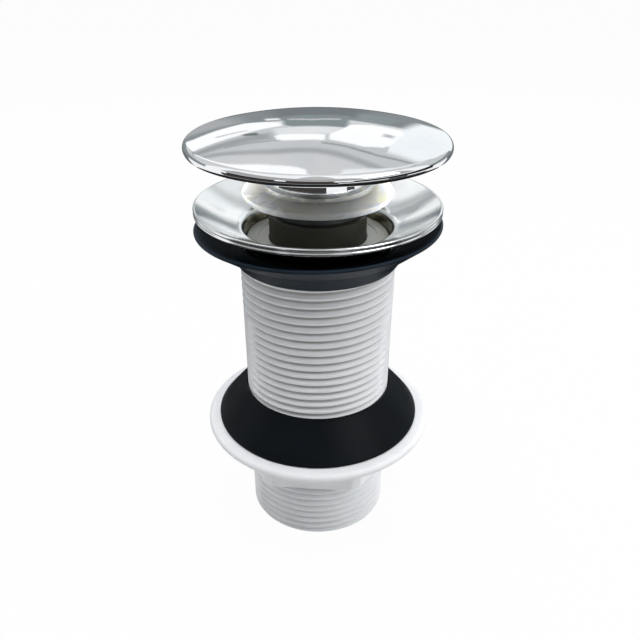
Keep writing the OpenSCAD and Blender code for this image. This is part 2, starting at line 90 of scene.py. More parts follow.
# drop points of a section that lie on the one before
def withoutDoubles(points, gap=2e-6):
    step = np.linalg.norm(points - np.roll(points, 1, 0), axis=1)
    return points[step > gap]


# quads of a grid of rows x columns, rows joined end to end where loopRows is set, columns always
def gridFaces(rows, columns, loopRows=True):
    i = np.arange(rows if loopRows else rows - 1)[:, None]
    j = np.arange(columns)[None, :]
    i2, j2 = (i + 1) % rows, (j + 1) % columns
    corner = [i * columns + j, i * columns + j2, i2 * columns + j2, i2 * columns + j]
    return np.stack(np.broadcast_arrays(*corner), -1).reshape(-1, 4)


# mesh object at the origin, smooth, with hard edges over an angle, riding on a CAD body
def makePiece(name, points, faces, body, slot, finish, nodes, crease=38):
    mesh = bpy.data.meshes.new(name)
    mesh.from_pydata(points.tolist(), [], faces)
    mesh.validate()
    mesh.shade_smooth()
    mesh.set_sharp_from_angle(angle=math.radians(crease))
    mesh.materials.append(finish)
    piece = bpy.data.objects.new(name, mesh)
    bpy.context.scene.collection.objects.link(piece)
    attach(piece, body)
    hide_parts(*nodes)
    return piece


# a closed section (r, z) carried once round Z: x = r cos a, y = r sin a, z = z.
# section is (points, 2), or (steps, points, 2) where it changes with the angle
def spunRing(section, steps=192):
    if section.ndim == 2:
        section = np.broadcast_to(section, (steps,) + section.shape)
    steps, count = section.shape[:2]
    a = np.arange(steps)[:, None] * 2 * math.pi / steps
    r, z = section[..., 0], section[..., 1]
    points = np.stack([r * np.cos(a), r * np.sin(a), z], -1).reshape(-1, 3)
    faces = gridFaces(steps, count)
    x, y = section[0, :, 0], section[0, :, 1]
    area = np.sum(x * np.roll(y, -1) - np.roll(x, -1) * y)
    if area > 0:  # the section runs up the outside
        faces = faces[:, ::-1]
    return points, faces.tolist()


# an open section from the axis back to the axis carried round Z; its two ends become single points
def spunDome(section, steps):
    inner = section[1:-1]
    a = np.arange(steps)[None, :] * 2 * math.pi / steps
    r, z = inner[:, :1], inner[:, 1:]
    z = np.broadcast_to(z, (len(inner), steps))
    ring = np.stack([r * np.cos(a), r * np.sin(a), z], -1).reshape(-1, 3)
    ends = np.array([[0, 0, section[0, 1]], [0, 0, section[-1, 1]]])
    points = np.concatenate([ring, ends])
    faces = gridFaces(len(inner), steps, loopRows=False)
    j = np.arange(steps)
    j2 = (j + 1) % steps
    last = (len(inner) - 1) * steps
    firstFan = np.stack([np.full(steps, len(ring)), j2, j], 1)
    lastFan = np.stack([np.full(steps, len(ring) + 1), last + j, last + j2], 1)
    fans = np.concatenate([firstFan, lastFan])
    x, y = section[:, 0], section[:, 1]
    area = np.sum(x * np.roll(y, -1) - np.roll(x, -1) * y)
    if area < 0:  # the section runs down the outside
        faces, fans = faces[:, ::-1], fans[:, ::-1]
    return points, faces.tolist() + fans.tolist()


# a round tube of a given radius along a path, with flat ends
def tubeAlong(path, radius, sides=12):
    ahead = np.gradient(path, axis=0)
    ahead /= np.linalg.norm(ahead, axis=1, keepdims=True)
    up = np.array([0.0, 0.0, 1.0])
    side = np.cross(ahead, up)
    side /= np.linalg.norm(side, axis=1, keepdims=True)
    top = np.cross(side, ahead)
    w = np.arange(sides) * 2 * math.pi / sides
    ring = side[:, None] * np.cos(w)[None, :, None] + top[:, None] * np.sin(w)[None, :, None]
    points = (path[:, None] + radius * ring).reshape(-1, 3)
    faces = gridFaces(len(path), sides, loopRows=False)[:, ::-1].tolist()
    faces.append(list(range(sides)))
    faces.append(list(range(len(points) - sides, len(points)))[::-1])
    return points, faces


# two or more point and face sets as one
def joined(*sets):
    points, faces, base = [], [], 0
    for p, f in sets:
        points.append(p)
        faces += [[k + base for k in face] for face in f]
        base += len(p)
    return np.concatenate(points), faces


# empty material with a Principled shader; constant values go straight on its sockets
def newFinish(name, **values):
    material = bpy.data.materials.new(name)
    material.use_nodes = True
    nodes, links = material.node_tree.nodes, material.node_tree.links
    shader = nodes["Principled BSDF"]
    for socket, value in values.items():
        shader.inputs[socket.replace("_", " ")].default_value = value
    return material, nodes, links, shader


# place on the piece, in its own coordinates
def placed(nodes):
    return nodes.new("ShaderNodeTexCoord").outputs["Object"]


# height on the piece
def heightUp(nodes, links):
    parts = nodes.new("ShaderNodeSeparateXYZ")
    links.new(placed(nodes), parts.inputs["Vector"])
    return parts.outputs["Z"]


# distance from the axis
def axisDistance(nodes, links):
    flat = nodes.new("ShaderNodeVectorMath")
    flat.operation = "MULTIPLY"
    flat.inputs[1].default_value = (1, 1, 0)
    links.new(placed(nodes), flat.inputs[0])
    length = nodes.new("ShaderNodeVectorMath")
    length.operation = "LENGTH"
    links.new(flat.outputs["Vector"], length.inputs[0])
    return length.outputs["Value"]


# distance from the axis, height and angle as a vector, so that a pattern on it runs round the piece
def roundPlaced(nodes, links, radial, upright, turning):
    parts = nodes.new("ShaderNodeSeparateXYZ")
    links.new(placed(nodes), parts.inputs["Vector"])
    angle = nodes.new("ShaderNodeMath")
    angle.operation = "ARCTAN2"
    links.new(parts.outputs["Y"], angle.inputs[0])
    links.new(parts.outputs["X"], angle.inputs[1])
    both = nodes.new("ShaderNodeCombineXYZ")
    links.new(axisDistance(nodes, links), both.inputs["X"])
    links.new(parts.outputs["Z"], both.inputs["Y"])
    links.new(angle.outputs["Value"], both.inputs["Z"])
    mapping = nodes.new("ShaderNodeMapping")
    mapping.inputs["Scale"].default_value = (radial, upright, turning)
    links.new(both.outputs["Vector"], mapping.inputs["Vector"])
    return mapping.outputs["Vector"]


def noiseOn(nodes, links, vector, scale, detail, rough):
    noise = nodes.new("ShaderNodeTexNoise")
    noise.inputs["Scale"].default_value = scale
    noise.inputs["Detail"].default_value = detail
    noise.inputs["Roughness"].default_value = rough
    links.new(vector, noise.inputs["Vector"])
    return noise.outputs["Fac"]


# value range of a pattern turned into another range
def spread(nodes, links, value, low, high, fromLow=0.3, fromHigh=0.7):
    span = nodes.new("ShaderNodeMapRange")
    span.inputs["From Min"].default_value = fromLow
    span.inputs["From Max"].default_value = fromHigh
    span.inputs["To Min"].default_value = low
    span.inputs["To Max"].default_value = high
    links.new(value, span.inputs["Value"])
    return span.outputs["Result"]


# colour ramp over a pattern, stops are (place, colour)
def ramp(nodes, links, value, stops):
    node = nodes.new("ShaderNodeValToRGB")
    band = node.color_ramp
    while len(band.elements) < len(stops):
        band.elements.new(0.5)
    for element, (place, colour) in zip(band.elements, stops):
        element.position = place
        element.color = (*colour, 1)
    links.new(value, node.inputs["Fac"])
    return node.outputs["Color"]


def bumpOn(nodes, links, shader, height, depth, strength, under=None):
    bump = nodes.new("ShaderNodeBump")
    bump.inputs["Distance"].default_value = depth
    bump.inputs["Strength"].default_value = strength
    links.new(height, bump.inputs["Height"])
    if under is not None:
        links.new(under.outputs["Normal"], bump.inputs["Normal"])
    links.new(bump.outputs["Normal"], shader.inputs["Normal"])
    return bump


# sparse specks: 1 inside a few cells of a cell pattern, 0 elsewhere
def specks(nodes, links, vector, scale, size, share):
    cells = nodes.new("ShaderNodeTexVoronoi")
    cells.inputs["Scale"].default_value = scale
    links.new(vector, cells.inputs["Vector"])
    near = nodes.new("ShaderNodeMath")
    near.operation = "LESS_THAN"
    near.inputs[1].default_value = size
    links.new(cells.outputs["Distance"], near.inputs[0])
    pick = nodes.new("ShaderNodeSeparateXYZ")
    links.new(cells.outputs["Color"], pick.inputs["Vector"])
    rare = nodes.new("ShaderNodeMath")
    rare.operation = "LESS_THAN"
    rare.inputs[1].default_value = share
    links.new(pick.outputs["X"], rare.inputs[0])
    both = nodes.new("ShaderNodeMath")
    both.operation = "MULTIPLY"
    links.new(near.outputs["Value"], both.inputs[0])
    links.new(rare.outputs["Value"], both.inputs[1])
    return both.outputs["Value"]


# a base colour, with another where the mask is 1
def overlaid(nodes, links, base, mask, colour):
    mix = nodes.new("ShaderNodeMix")
    mix.data_type = "RGBA"
    links.new(mask, mix.inputs["Factor"])
    links.new(base, mix.inputs["A"])
    mix.inputs["B"].default_value = (*colour, 1)
    return mix.outputs["Result"]


# in the finishes a noise is (scale, detail, rough), a bump (depth, strength), specks (scale, size, share),
# and tones are (place on the pattern, colour)
chrome = {
    "tones": [(0.35, (0.86, 0.88, 0.90)), (0.62, (0.92, 0.935, 0.95))], "gloss": (0.03, 0.06),
    "haze": (90.0, 4.0, 0.6), "waves": (26.0, 1.0, 0.4), "waveBump": (0.0006, 0.6),
    "grit": (1500.0, 2.0, 0.5), "gritBump": (0.000004, 0.5)}


# polished plating: faint haze from wiping, and long shallow waves left by the polishing wheel
def chromeFinish():
    material, nodes, links, shader = newFinish("chromePlate", Metallic=1.0)
    vector = placed(nodes)
    haze = noiseOn(nodes, links, vector, *chrome["haze"])
    links.new(ramp(nodes, links, haze, chrome["tones"]), shader.inputs["Base Color"])
    links.new(spread(nodes, links, haze, *chrome["gloss"]), shader.inputs["Roughness"])
    waves = noiseOn(nodes, links, vector, *chrome["waves"])
    low = bumpOn(nodes, links, shader, waves, *chrome["waveBump"])
    grit = noiseOn(nodes, links, vector, *chrome["grit"])
    bumpOn(nodes, links, shader, grit, *chrome["gritBump"], under=low)
    return material


stainless = {
    "tones": [(0.3, (0.78, 0.805, 0.82)), (0.62, (0.90, 0.925, 0.93))], "gloss": (0.09, 0.16),
    "round": (5200.0, 2600.0, 1.2), "rings": (1.0, 4.0, 0.6), "ringBump": (0.000008, 0.5),
    "cloud": (70.0, 4.0, 0.55), "cloudBump": (0.0001, 0.4),
    # painted shade: the cup tone and the heights where it takes over
    "cup": (0.15, 0.145, 0.105), "cupShadeZ": (91.5 * mm, 93.6 * mm)}


# pressed and spun sheet: fine rings round the axis and cloudy polish; the cup under the throat edge is
# painted a dark brownish tone, painted shade and dark reflection inside the throat
def stainlessFinish():
    material, nodes, links, shader = newFinish("spunStainless", Metallic=1.0, Anisotropic=0.35)
    rings = noiseOn(nodes, links, roundPlaced(nodes, links, *stainless["round"]), *stainless["rings"])
    cloud = noiseOn(nodes, links, placed(nodes), *stainless["cloud"])
    sheet = ramp(nodes, links, cloud, stainless["tones"])
    # painted shade: below the throat edge the colour turns to the dark brownish cup tone
    below = spread(nodes, links, heightUp(nodes, links), 1.0, 0.0, *stainless["cupShadeZ"])
    links.new(overlaid(nodes, links, sheet, below, stainless["cup"]), shader.inputs["Base Color"])
    links.new(spread(nodes, links, cloud, *stainless["gloss"]), shader.inputs["Roughness"])
    low = bumpOn(nodes, links, shader, cloud, *stainless["cloudBump"])
    bumpOn(nodes, links, shader, rings, *stainless["ringBump"], under=low)
    return material


whitePlastic = {
    "tones": [(0.3, (0.77, 0.785, 0.81)), (0.66, (0.85, 0.865, 0.885))], "gloss": (0.34, 0.5),
    "cloud": (55.0, 4.0, 0.6), "cloudBump": (0.0004, 0.25),
    "skin": (900.0, 3.0, 0.6), "skinBump": (0.00003, 0.5),
    # painted shade in the thread roots: its grey, the radii it covers, the heights over which it fades, and
    # its least share
    "dust": (0.19, 0.18, 0.17), "dustSpecks": (170.0, 0.05, 0.06), "paintedRootShade": (0.48, 0.475, 0.47),
    "rootShadeR": (19.8 * mm, 20.35 * mm), "rootShadeZ": (16 * mm, 36 * mm), "rootShadeLow": 0.25}


# moulded polypropylene: slightly cloudy, soft gloss, a few dark moulding specks; a thread gets painted shade
# in its roots, a grey that darkens the thread lines, less of it towards the outlet
def whitePlasticFinish(name, threaded):
    material, nodes, links, shader = newFinish(
        name, Subsurface_Weight=0.08, Subsurface_Radius=(0.0012, 0.0011, 0.001), Subsurface_Scale=1.0,
        IOR=1.49)
    vector = placed(nodes)
    cloud = noiseOn(nodes, links, vector, *whitePlastic["cloud"])
    colour = ramp(nodes, links, cloud, whitePlastic["tones"])
    # painted shade: the roots of the thread are darkened towards a grey, fading out low down
    if threaded:
        deep = spread(nodes, links, axisDistance(nodes, links), 1.0, 0.0, *whitePlastic["rootShadeR"])
        least = whitePlastic["rootShadeLow"]
        up = spread(nodes, links, heightUp(nodes, links), least, 1.0, *whitePlastic["rootShadeZ"])
        root = nodes.new("ShaderNodeMath")
        root.operation = "MULTIPLY"
        links.new(deep, root.inputs[0])
        links.new(up, root.inputs[1])
        colour = overlaid(nodes, links, colour, root.outputs["Value"], whitePlastic["paintedRootShade"])
    spots = specks(nodes, links, vector, *whitePlastic["dustSpecks"])
    links.new(overlaid(nodes, links, colour, spots, whitePlastic["dust"]), shader.inputs["Base Color"])
    skin = noiseOn(nodes, links, vector, *whitePlastic["skin"])
    links.new(spread(nodes, links, skin, *whitePlastic["gloss"]), shader.inputs["Roughness"])
    low = bumpOn(nodes, links, shader, cloud, *whitePlastic["cloudBump"])
    bumpOn(nodes, links, shader, skin, *whitePlastic["skinBump"], under=low)
    return material


blackRubber = {
    "tones": [(0.36, (0.0012, 0.0026, 0.0042)), (0.68, (0.0032, 0.0056, 0.0088))], "gloss": (0.36, 0.5),
    "cloud": (48.0, 5.0, 0.62), "grain": (2600.0, 3.0, 0.6), "grainBump": (0.00003, 0.55),
    "dust": (0.62, 0.62, 0.6), "dustSpecks": (150.0, 0.045, 0.05)}


# moulded rubber: grain, grey bloom in clouds, and a little pale dust; the second argument scales both tones,
# which is painted light and shade: one rubber made lighter for the gasket, whose front lies in shade,
# and darker for the washer
def blackRubberFinish(name, paintedLight, sheen):
    material, nodes, links, shader = newFinish(name, Specular_IOR_Level=sheen, IOR=1.5)
    vector = placed(nodes)
    cloud = noiseOn(nodes, links, vector, *blackRubber["cloud"])
    tones = [(place, tuple(paintedLight * c for c in tone)) for place, tone in blackRubber["tones"]]
    colour = ramp(nodes, links, cloud, tones)
    dust = specks(nodes, links, vector, *blackRubber["dustSpecks"])
    links.new(overlaid(nodes, links, colour, dust, blackRubber["dust"]), shader.inputs["Base Color"])
    grain = noiseOn(nodes, links, vector, *blackRubber["grain"])
    links.new(spread(nodes, links, cloud, *blackRubber["gloss"]), shader.inputs["Roughness"])
    bumpOn(nodes, links, shader, grain, *blackRubber["grainBump"])
    return material


silicone = {
    "tones": [(0.34, (0.91, 0.885, 0.76)), (0.6, (0.93, 0.92, 0.84))], "gloss": (0.22, 0.32),
    "cloud": (80.0, 3.0, 0.5), "round": (900.0, 900.0, 3.0), "skin": (1.0, 3.0, 0.5),
    "skinBump": (0.00002, 0.4)}


# translucent silicone in two close creams, with a soft wet gloss
def siliconeFinish():
    material, nodes, links, shader = newFinish(
        "creamSilicone", Subsurface_Weight=0.8, Subsurface_Radius=(0.012, 0.010, 0.006),
        Subsurface_Scale=1.0, Transmission_Weight=0.12, IOR=1.41)
    cloud = noiseOn(nodes, links, placed(nodes), *silicone["cloud"])
    links.new(ramp(nodes, links, cloud, silicone["tones"]), shader.inputs["Base Color"])
    links.new(spread(nodes, links, cloud, *silicone["gloss"]), shader.inputs["Roughness"])
    skin = noiseOn(nodes, links, roundPlaced(nodes, links, *silicone["round"]), *silicone["skin"])
    bumpOn(nodes, links, shader, skin, *silicone["skinBump"])
    return material


plain = {"darkAt": 0.32, "paleAt": 0.66, "cloud": (60.0, 4.0, 0.55), "fine": (3.0, 0.55), "strength": 0.5}


# moulded or cast parts that share one recipe: two tones, gloss range, grain size and depth
def plainFinish(name, dark, pale, gloss, grain, depth, **values):
    material, nodes, links, shader = newFinish(name, **values)
    vector = placed(nodes)
    cloud = noiseOn(nodes, links, vector, *plain["cloud"])
    tones = [(plain["darkAt"], dark), (plain["paleAt"], pale)]
    links.new(ramp(nodes, links, cloud, tones), shader.inputs["Base Color"])
    fine = noiseOn(nodes, links, vector, grain, *plain["fine"])
    links.new(spread(nodes, links, fine, *gloss), shader.inputs["Roughness"])
    bumpOn(nodes, links, shader, fine, depth, plain["strength"])
    return material


turned = {"darkAt": 0.3, "paleAt": 0.65, "cloud": (110.0, 3.0, 0.5), "lines": (1.0, 3.0, 0.6),
          "turning": 0.6, "strength": 0.5}


# turned metal: fine rings round the axis in the bump and the gloss
def turnedFinish(name, dark, pale, gloss, rings, depth):
    material, nodes, links, shader = newFinish(name, Metallic=1.0)
    vector = roundPlaced(nodes, links, rings, rings, turned["turning"])
    lines = noiseOn(nodes, links, vector, *turned["lines"])
    cloud = noiseOn(nodes, links, placed(nodes), *turned["cloud"])
    tones = [(turned["darkAt"], dark), (turned["paleAt"], pale)]
    links.new(ramp(nodes, links, cloud, tones), shader.inputs["Base Color"])
    links.new(spread(nodes, links, lines, *gloss), shader.inputs["Roughness"])
    bumpOn(nodes, links, shader, lines, depth, turned["strength"])
    return material


chromePlate = chromeFinish()
spunStainless = stainlessFinish()
whiteMoulded = whitePlasticFinish("whitePlastic", False)
whiteThread = whitePlasticFinish("whiteThread", True)
# one rubber in two brightnesses: painted shade on the washer, painted light on the gasket and the bowl seal
washerRubber = blackRubberFinish("washerRubber", 0.8, 0.10)
gasketRubber = blackRubberFinish("gasketRubber", 4.4, 0.13)
creamSilicone = siliconeFinish()
olivePlastic = plainFinish(
    "oliveSleeve", (0.034, 0.036, 0.026), (0.040, 0.042, 0.030), (0.5, 0.58), 300.0, 0.000001, IOR=1.5)
slatePlastic = plainFinish(
    "slateRing", (0.036, 0.041, 0.043), (0.056, 0.062, 0.064), (0.3, 0.45), 900.0, 0.00002, IOR=1.5)
greyPlastic = plainFinish(
    "greyAcetal", (0.42, 0.43, 0.43), (0.52, 0.53, 0.53), (0.35, 0.5), 800.0, 0.00003, IOR=1.48)
darkPlastic = plainFinish(
    "darkAcetal", (0.10, 0.10, 0.102), (0.15, 0.15, 0.152), (0.35, 0.5), 800.0, 0.00003, IOR=1.48)
clampMetal = plainFinish(
    "clampCasting", (0.66, 0.675, 0.66), (0.74, 0.75, 0.735), (0.26, 0.4), 900.0, 0.00001, Metallic=0.15)
turnedBrass = turnedFinish(
    "turnedBrass", (0.56, 0.40, 0.17), (0.70, 0.52, 0.24), (0.2, 0.36), 4200.0, 0.00001)
turnedSteel = turnedFinish(
    "turnedSteel", (0.50, 0.50, 0.51), (0.62, 0.62, 0.63), (0.2, 0.38), 4200.0, 0.00001)
print("stage: finishes made")


capR, capFoot, capTop = reach("cap_shell")
cap = {"roll": 1.65 * mm, "thick": 0.6 * mm, "curl": 35, "skip": 4, "skipInside": 6}


# dome of one sphere that runs into a rolled rim, then back along the inside; skip is the angle left free
# where the two arcs meet
def makeCap():
    roll, thick = cap["roll"], cap["thick"]
    rimR, rimZ = capR - roll, capFoot + roll * math.sin(math.radians(cap["curl"]))
    rise = capTop - rimZ
    domeR = (rimR ** 2 + rise ** 2 - roll ** 2) / (2 * (rise - roll))
    lean = math.degrees(math.atan(rimR / (domeR - rise)))
    centre = capTop - domeR
    section = np.concatenate([
        arcPoints(0, centre, domeR, 90, 90 - lean, 72),
        arcPoints(rimR, rimZ, roll, 90 - lean - cap["skip"], -cap["curl"], 36),
        arcPoints(rimR, rimZ, roll - thick, -cap["curl"], 90 - lean - cap["skipInside"], 14),
        arcPoints(0, centre, domeR - thick, 90 - lean, 90, 40)])
    makePiece("capDome", *spunDome(section, 256), "plug", "chrome", chromePlate, ["cap_shell"], crease=60)


neckR, neckFoot, neckTop = reach("neck")
neck = {"flare": 0.8 * mm, "wall": 1.2 * mm, "floor": 1.2 * mm, "bore": 4.1 * mm, "foot": 0.35 * mm,
        "sunk": 1.0 * mm}


# bush: straight foot with a rounded edge, pressed a little into the seal, flaring under the cap,
# hollow from above
def makeNeck():
    footR, footZ = neckR - neck["flare"], neckFoot - neck["sunk"]
    middle = (neckFoot + neckTop) / 2
    outside = np.concatenate([
        arcPoints(footR - neck["foot"], footZ + neck["foot"], neck["foot"], -90, 0, 10),
        bendPoints((footR, middle), (footR, neckTop - 1 * mm), (neckR, neckTop), 20)])
    inside = np.array([[footR - neck["wall"], neckTop], [footR - neck["wall"], neckFoot + neck["floor"]],
                       [neck["bore"], neckFoot + neck["floor"]], [neck["bore"], footZ]])
    section = np.concatenate([outside, inside])
    makePiece("neckBush", *spunRing(section), "plug", "chrome", chromePlate, ["neck"])


sealR, sealFoot, sealTop = reach("lip_seal")
seal = {"lip": 1.8 * mm, "tuck": 0.2 * mm, "taper": 0.5 * mm, "round": 0.4 * mm, "crown": 1.8 * mm,
        "foot": 12.4 * mm, "bead": 1.5 * mm, "edge": 0.4 * mm, "core": 6.7 * mm}


# soft seal: foot bead, flare out to a lip whose side tapers like the throat, then the upper face
# back to the bush
def makeSeal():
    rimZ = sealTop - seal["crown"]
    beadZ = sealFoot + seal["bead"]
    footR, edge, lip, bend = seal["foot"], seal["edge"], seal["lip"], seal["round"]
    lipR, bushR = sealR - seal["tuck"], neckR - neck["flare"]
    crownZ = sealTop - neck["sunk"]
    section = np.concatenate([
        [[seal["core"], sealFoot]],
        arcPoints(footR - edge, sealFoot + edge, edge, -90, 0, 8),
        arcPoints(footR - edge, beadZ - edge, edge, 0, 62, 8),
        bendPoints((footR - 0.1 * mm, beadZ + 0.2 * mm), (lipR - 2.4 * mm, rimZ - lip - 0.1 * mm),
                   (lipR - seal["taper"] - bend, rimZ - lip), 26),
        arcPoints(lipR - seal["taper"] - bend, rimZ - lip + bend, bend, -80, -15, 8),
        arcPoints(lipR - bend, rimZ - bend, bend, -15, 85, 10),
        bendPoints((lipR - 1.2 * mm, rimZ + 0.1 * mm), (bushR + 1.5 * mm, crownZ),
                   (bushR - 0.6 * mm, crownZ), 10),
        [[seal["core"], crownZ]]])
    makePiece("lipSeal", *spunRing(section), "plug", "silicone", creamSilicone, ["lip_seal"])


ringR, ringFoot, ringTop = reach("seal_ring")
ringShape = {"bore": 4.1 * mm, "core": 6.6 * mm, "edge": 0.35 * mm}


# ring that carries the seal, with its core
def makeSealRing():
    bore, core, edge = ringShape["bore"], ringShape["core"], ringShape["edge"]
    section = withoutDoubles(softCorners([
        (bore, ringFoot, 0), (ringR, ringFoot, edge), (ringR, sealFoot, 0.1 * mm), (core, sealFoot, 0),
        (core, ringTop, 0.2 * mm), (bore, ringTop, 0)]))
    makePiece("sealRing", *spunRing(section, 160), "plug", "dark_plastic", slatePlastic, ["seal_ring"])


sleeveR, sleeveFoot, sleeveTop = reach("sleeve")
skirt = {"wall": 0.9 * mm, "roof": 1.4 * mm, "bore": 4.1 * mm, "edge": 0.12 * mm}


# skirt of the plug: a thin cup, open below
def makeSleeve():
    inner, roof = sleeveR - skirt["wall"], sleeveTop - skirt["roof"]
    section = withoutDoubles(softCorners([
        (inner, sleeveFoot, 0.1 * mm), (sleeveR, sleeveFoot, skirt["edge"]),
        (sleeveR, sleeveTop, skirt["edge"]), (skirt["bore"], sleeveTop, 0),
        (skirt["bore"], roof, 0), (inner, roof, 0.3 * mm)]))
    makePiece("plugSleeve", *spunRing(section, 160), "plug", "dark_plastic", olivePlastic, ["sleeve"])


makeCap()
makeNeck()
makeSeal()
makeSealRing()
makeSleeve()
print("stage: plug made")


flangeR, bowlFoot, bowlTop = reach("bowl")
dish = {"sheet": 0.8 * mm, "bead": 0.5 * mm, "lip": 16.8 * mm, "cup": 18.7 * mm, "throat": 20.0 * mm,
        "throatDrop": 5.6 * mm, "pullR": 5.5 * mm, "pullZ": 3.2 * mm}


# pressed sheet: flat lip, rounded corner of the cup, throat edge, dish, and a rim rolled into two beads;
# the underside is the same path moved in by the sheet's thickness along its normal; pull bends the dish
def makeBowl():
    sheet, bead = dish["sheet"], dish["bead"]
    seatZ, throatZ = bowlFoot + sheet, bowlTop - dish["throatDrop"]
    cupR, throatR = dish["cup"], dish["throat"]
    beadR, beadZ = flangeR - bead, bowlTop - bead
    path = np.concatenate([
        [[dish["lip"], seatZ], [dish["lip"] + 0.4 * mm, seatZ]],
        bendPoints((cupR - 0.6 * mm, seatZ), (cupR, seatZ), (cupR + 0.2 * mm, seatZ + 0.6 * mm), 10),
        bendPoints((throatR - 0.25 * mm, throatZ - 0.9 * mm), (throatR, throatZ),
                   (throatR + 1.3 * mm, throatZ + 0.5 * mm), 16),
        bendPoints((throatR + 2 * mm, throatZ + 0.75 * mm),
                   (flangeR - dish["pullR"], bowlTop - dish["pullZ"]), (beadR, bowlTop), 40)])
    along = np.gradient(path, axis=0)
    normal = np.stack([-along[:, 1], along[:, 0]], 1) / np.linalg.norm(along, axis=1, keepdims=True)
    under = (path - sheet * normal)[::-1][3:]
    section = np.concatenate([
        path,
        arcPoints(beadR, beadZ, bead, 80, -50, 14),
        arcPoints(beadR, beadZ - 2 * bead, bead, 50, -190, 20),
        under])
    makePiece("flangeBowl", *spunRing(section, 256), "root", "stainless", spunStainless, ["bowl"], crease=50)


gasketR, gasketFoot, gasketTop = reach("flange_gasket")
gasket = {"grip": 21.1 * mm, "foot": 0.5 * mm, "hub": 25.5 * mm, "hubHigh": 5 * mm, "lip": 1.0 * mm,
          "crown": 0.9 * mm, "sag": 0.83 * mm}


# rubber gasket: cone up from the thread, a soft shoulder, then a dished lip with a round edge; the lip sits
# a little crooked, higher at the right: z grows by sag * x / radius, from nothing at the thread
def makeGasket():
    grip, hub, lip = gasket["grip"], gasket["hub"], gasket["lip"]
    hubTop = gasketFoot + gasket["hubHigh"]
    section = np.concatenate([
        [[grip, gasketFoot]],
        bendPoints((grip + 0.1 * mm, gasketFoot), (grip + gasket["foot"], gasketFoot),
                   (grip + gasket["foot"] + 0.3 * mm, gasketFoot + 0.35 * mm), 6),
        bendPoints((hub - 1 * mm, hubTop - 0.8 * mm), (hub, hubTop), (hub + 1.4 * mm, hubTop + 0.6 * mm), 10),
        bendPoints((hub + 2 * mm, hubTop + 0.95 * mm), (gasketR - 2 * mm, gasketTop - 2.2 * mm),
                   (gasketR - 0.25 * mm, gasketTop - 0.93 * mm), 16),
        arcPoints(gasketR - lip / 2, gasketTop - lip / 2, lip / 2, -52, 100, 14),
        bendPoints((gasketR - 2.4 * mm, gasketTop - 0.9 * mm), (hub - 0.5 * mm, hubTop + gasket["crown"]),
                   (grip + 0.2 * mm, hubTop + gasket["crown"]), 26),
        [[grip, hubTop + gasket["crown"] - 0.1 * mm]]])
    points, faces = spunRing(section)
    out = (np.hypot(points[:, 0], points[:, 1]) - grip) / (gasketR - grip)
    points[:, 2] += gasket["sag"] * points[:, 0] / gasketR * np.clip(out, 0, 1)
    makePiece("flangeGasket", points, faces, "root", "black_rubber", gasketRubber, ["flange_gasket"])


makeBowl()
makeGasket()
print("stage: bowl and gasket made")


threadR, tailFoot, tailTop = reach("tail")
tail = {
    "pitch": 2.309 * mm, "depth": 1.2 * mm, "crest": 0.22, "root": 0.06, "lineZ": 80.04 * mm,
    "bore": 17.5 * mm, "lip": 16.8 * mm, "neckZ": 78.2 * mm, "chamfer": 0.8 * mm, "rows": 560, "steps": 144,
    "ease": 0.6, "start": 0.6 * mm, "fadeLow": 1.6 * mm, "fadeHigh": 1.2 * mm,
    "strip": 26, "stripFade": 9, "stripDrop": 17.2 * mm, "stripEnd": 1.0 * mm, "stripBack": 0.05 * mm}
bridge = {"bossR": 6.5 * mm, "bossFoot": 45.45 * mm, "bossTop": 53.45 * mm, "bore": 2.6 * mm,
          "spokes": 4, "spokeFoot": 45.95 * mm, "spokeHigh": 6.0 * mm, "spokeWide": 2.4 * mm,
          "spokeEdge": 0.45 * mm}


# depth share of the thread at phase p (0 to 1, root in the middle of its flat at 0):
# flat root, straight flank, flat crest, with the corners eased
def threadShape(p):
    flank = (1 - tail["crest"] - tail["root"]) / 2
    fromRoot = np.abs((p + 0.5) % 1.0 - 0.5) - tail["root"] / 2
    rise = np.clip(fromRoot / flank, 0, 1)
    return rise * rise * (3 - 2 * rise) * tail["ease"] + rise * (1 - tail["ease"])


